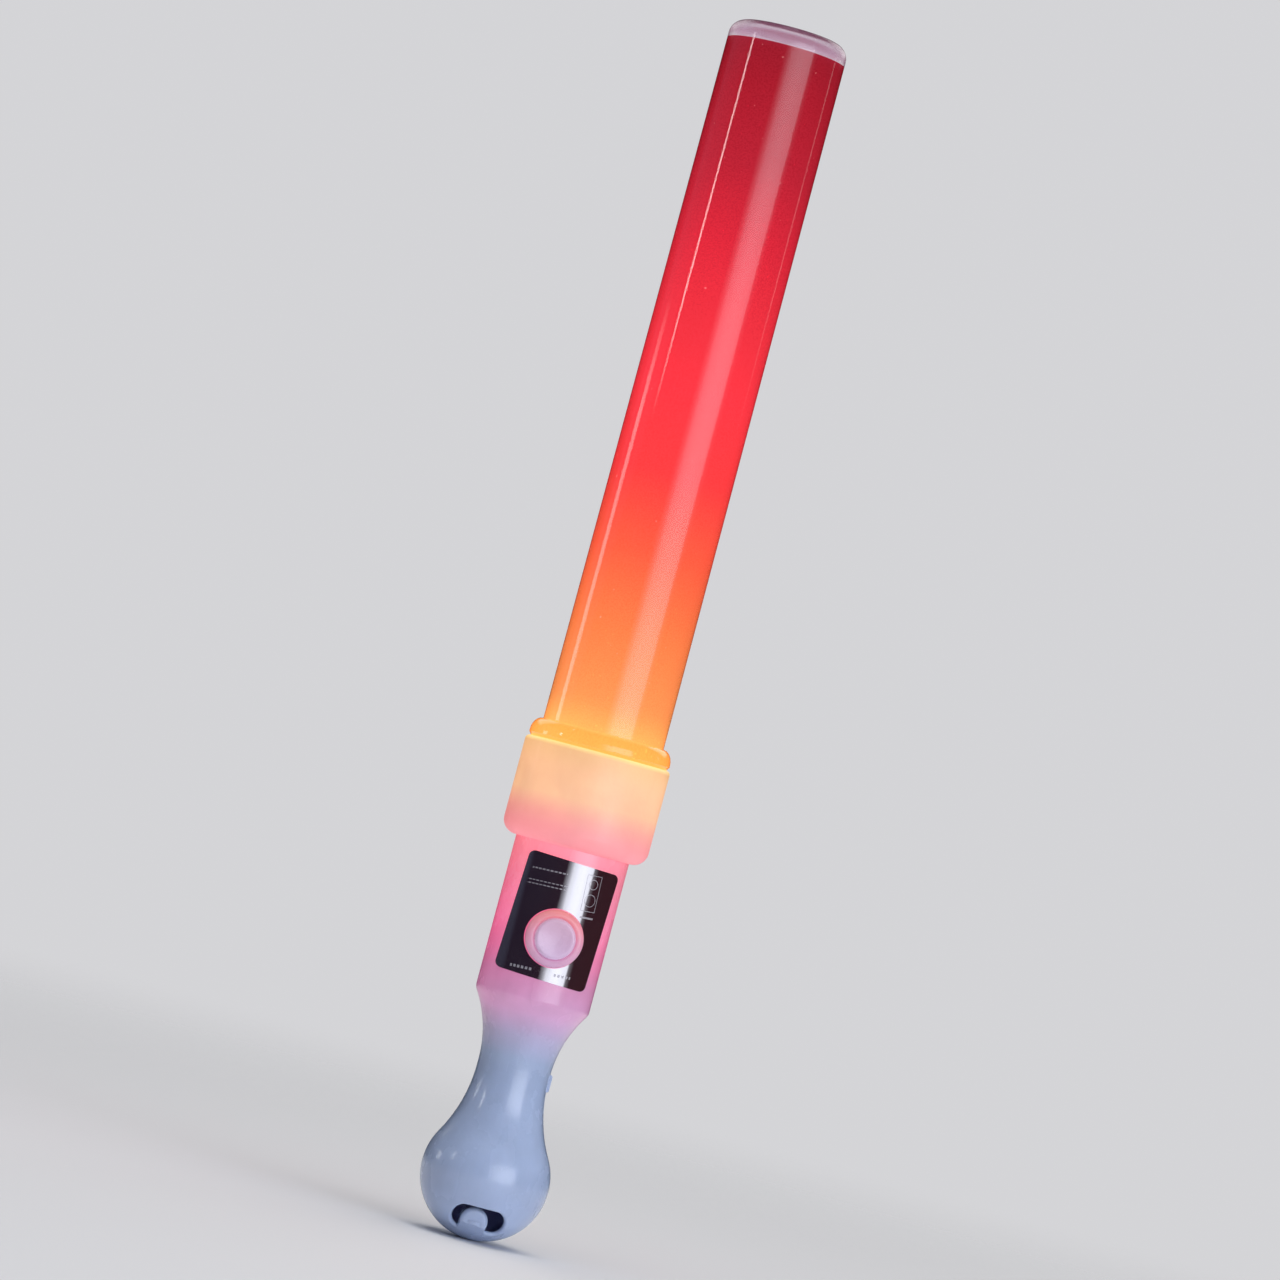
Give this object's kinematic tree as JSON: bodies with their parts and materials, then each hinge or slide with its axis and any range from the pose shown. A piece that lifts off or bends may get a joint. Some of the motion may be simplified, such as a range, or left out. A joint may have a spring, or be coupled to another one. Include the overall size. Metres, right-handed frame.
{
  "type": "traffic baton light",
  "caption": "Hand-held light baton: clear tube with a red sleeve lit from below, milky handle with a push button, ball pommel and lanyard peg.",
  "frame": {"origin": "lowest point of the ball pommel, on the baton's axis", "axes": "+Z along the baton from the pommel to the tube's tip; the button faces -Y; +X is to the right seen from the button side"},
  "size_m": [0.0496, 0.0496, 0.416],
  "materials": {
    "milky_plastic": "glossy milky translucent plastic",
    "clear_plastic": "clear polished plastic",
    "red_film": "red translucent film, lit from below",
    "mirror_film": "black mirror film",
    "seal_rubber": "soft pale silicone rubber",
    "screw_steel": "zinc-plated steel",
    "contact_metal": "nickel-plated spring steel",
    "cradle_plastic": "moulded white plastic",
    "white_plastic": "glossy white plastic",
    "black_plastic": "black moulded plastic",
    "cell_can": "printed cell jacket, plain",
    "circuit_board": "green solder mask",
    "led_lens": "clear epoxy lens, lit",
    "red_wire": "PVC insulation",
    "black_wire": "PVC insulation"
  },
  "bodies": {
    "handle": {"front_shell": "milky_plastic", "rear_shell": "milky_plastic", "collar_ring": "milky_plastic", "button_bezel": "milky_plastic", "label": "mirror_film", "shell_screws": "screw_steel", "door_nut": "screw_steel", "switch_board_screws": "screw_steel", "lamp_board_screws": "screw_steel", "battery_cradle": "cradle_plastic", "reflector": "white_plastic", "battery_1": "cell_can", "battery_2": "cell_can", "battery_3": "cell_can", "contact_spring_1": "contact_metal", "contact_spring_2": "contact_metal", "contact_spring_3": "contact_metal", "contact_link_top": "contact_metal", "contact_link_bottom": "contact_metal", "terminal_positive": "contact_metal", "terminal_negative": "contact_metal", "switch_board": "circuit_board", "lamp_board": "circuit_board", "push_switch_body": "black_plastic", "flash_controller": "black_plastic", "led_resistors": "black_plastic", "leds": "led_lens", "lamp_lead_red": "red_wire", "battery_lead_red": "red_wire", "lamp_lead_black": "black_wire", "battery_lead_black": "black_wire"},
    "tube": {"clear_tube": "clear_plastic", "red_sleeve": "red_film", "tube_seal": "seal_rubber"},
    "button": {"button_cap": "milky_plastic", "push_switch_plunger": "white_plastic"},
    "door": {"battery_door": "milky_plastic", "door_screw": "screw_steel"}
  },
  "joints": [
    {"name": "tube_twist", "type": "hinge", "parent": "handle", "child": "tube", "pos_m": [0, 0, 0.1672], "axis": [0, 0, 1], "range_deg": [0, 40]},
    {"name": "button_press", "type": "slide", "parent": "handle", "child": "button", "axis": [0, 1, 0], "range_m": [0, 0.0016], "stiffness_N_per_m": 900},
    {"name": "door_open", "type": "hinge", "parent": "handle", "child": "door", "pos_m": [0, 0.0194, 0.1322], "axis": [1, 0, 0], "range_deg": [0, 85]}
  ]
}
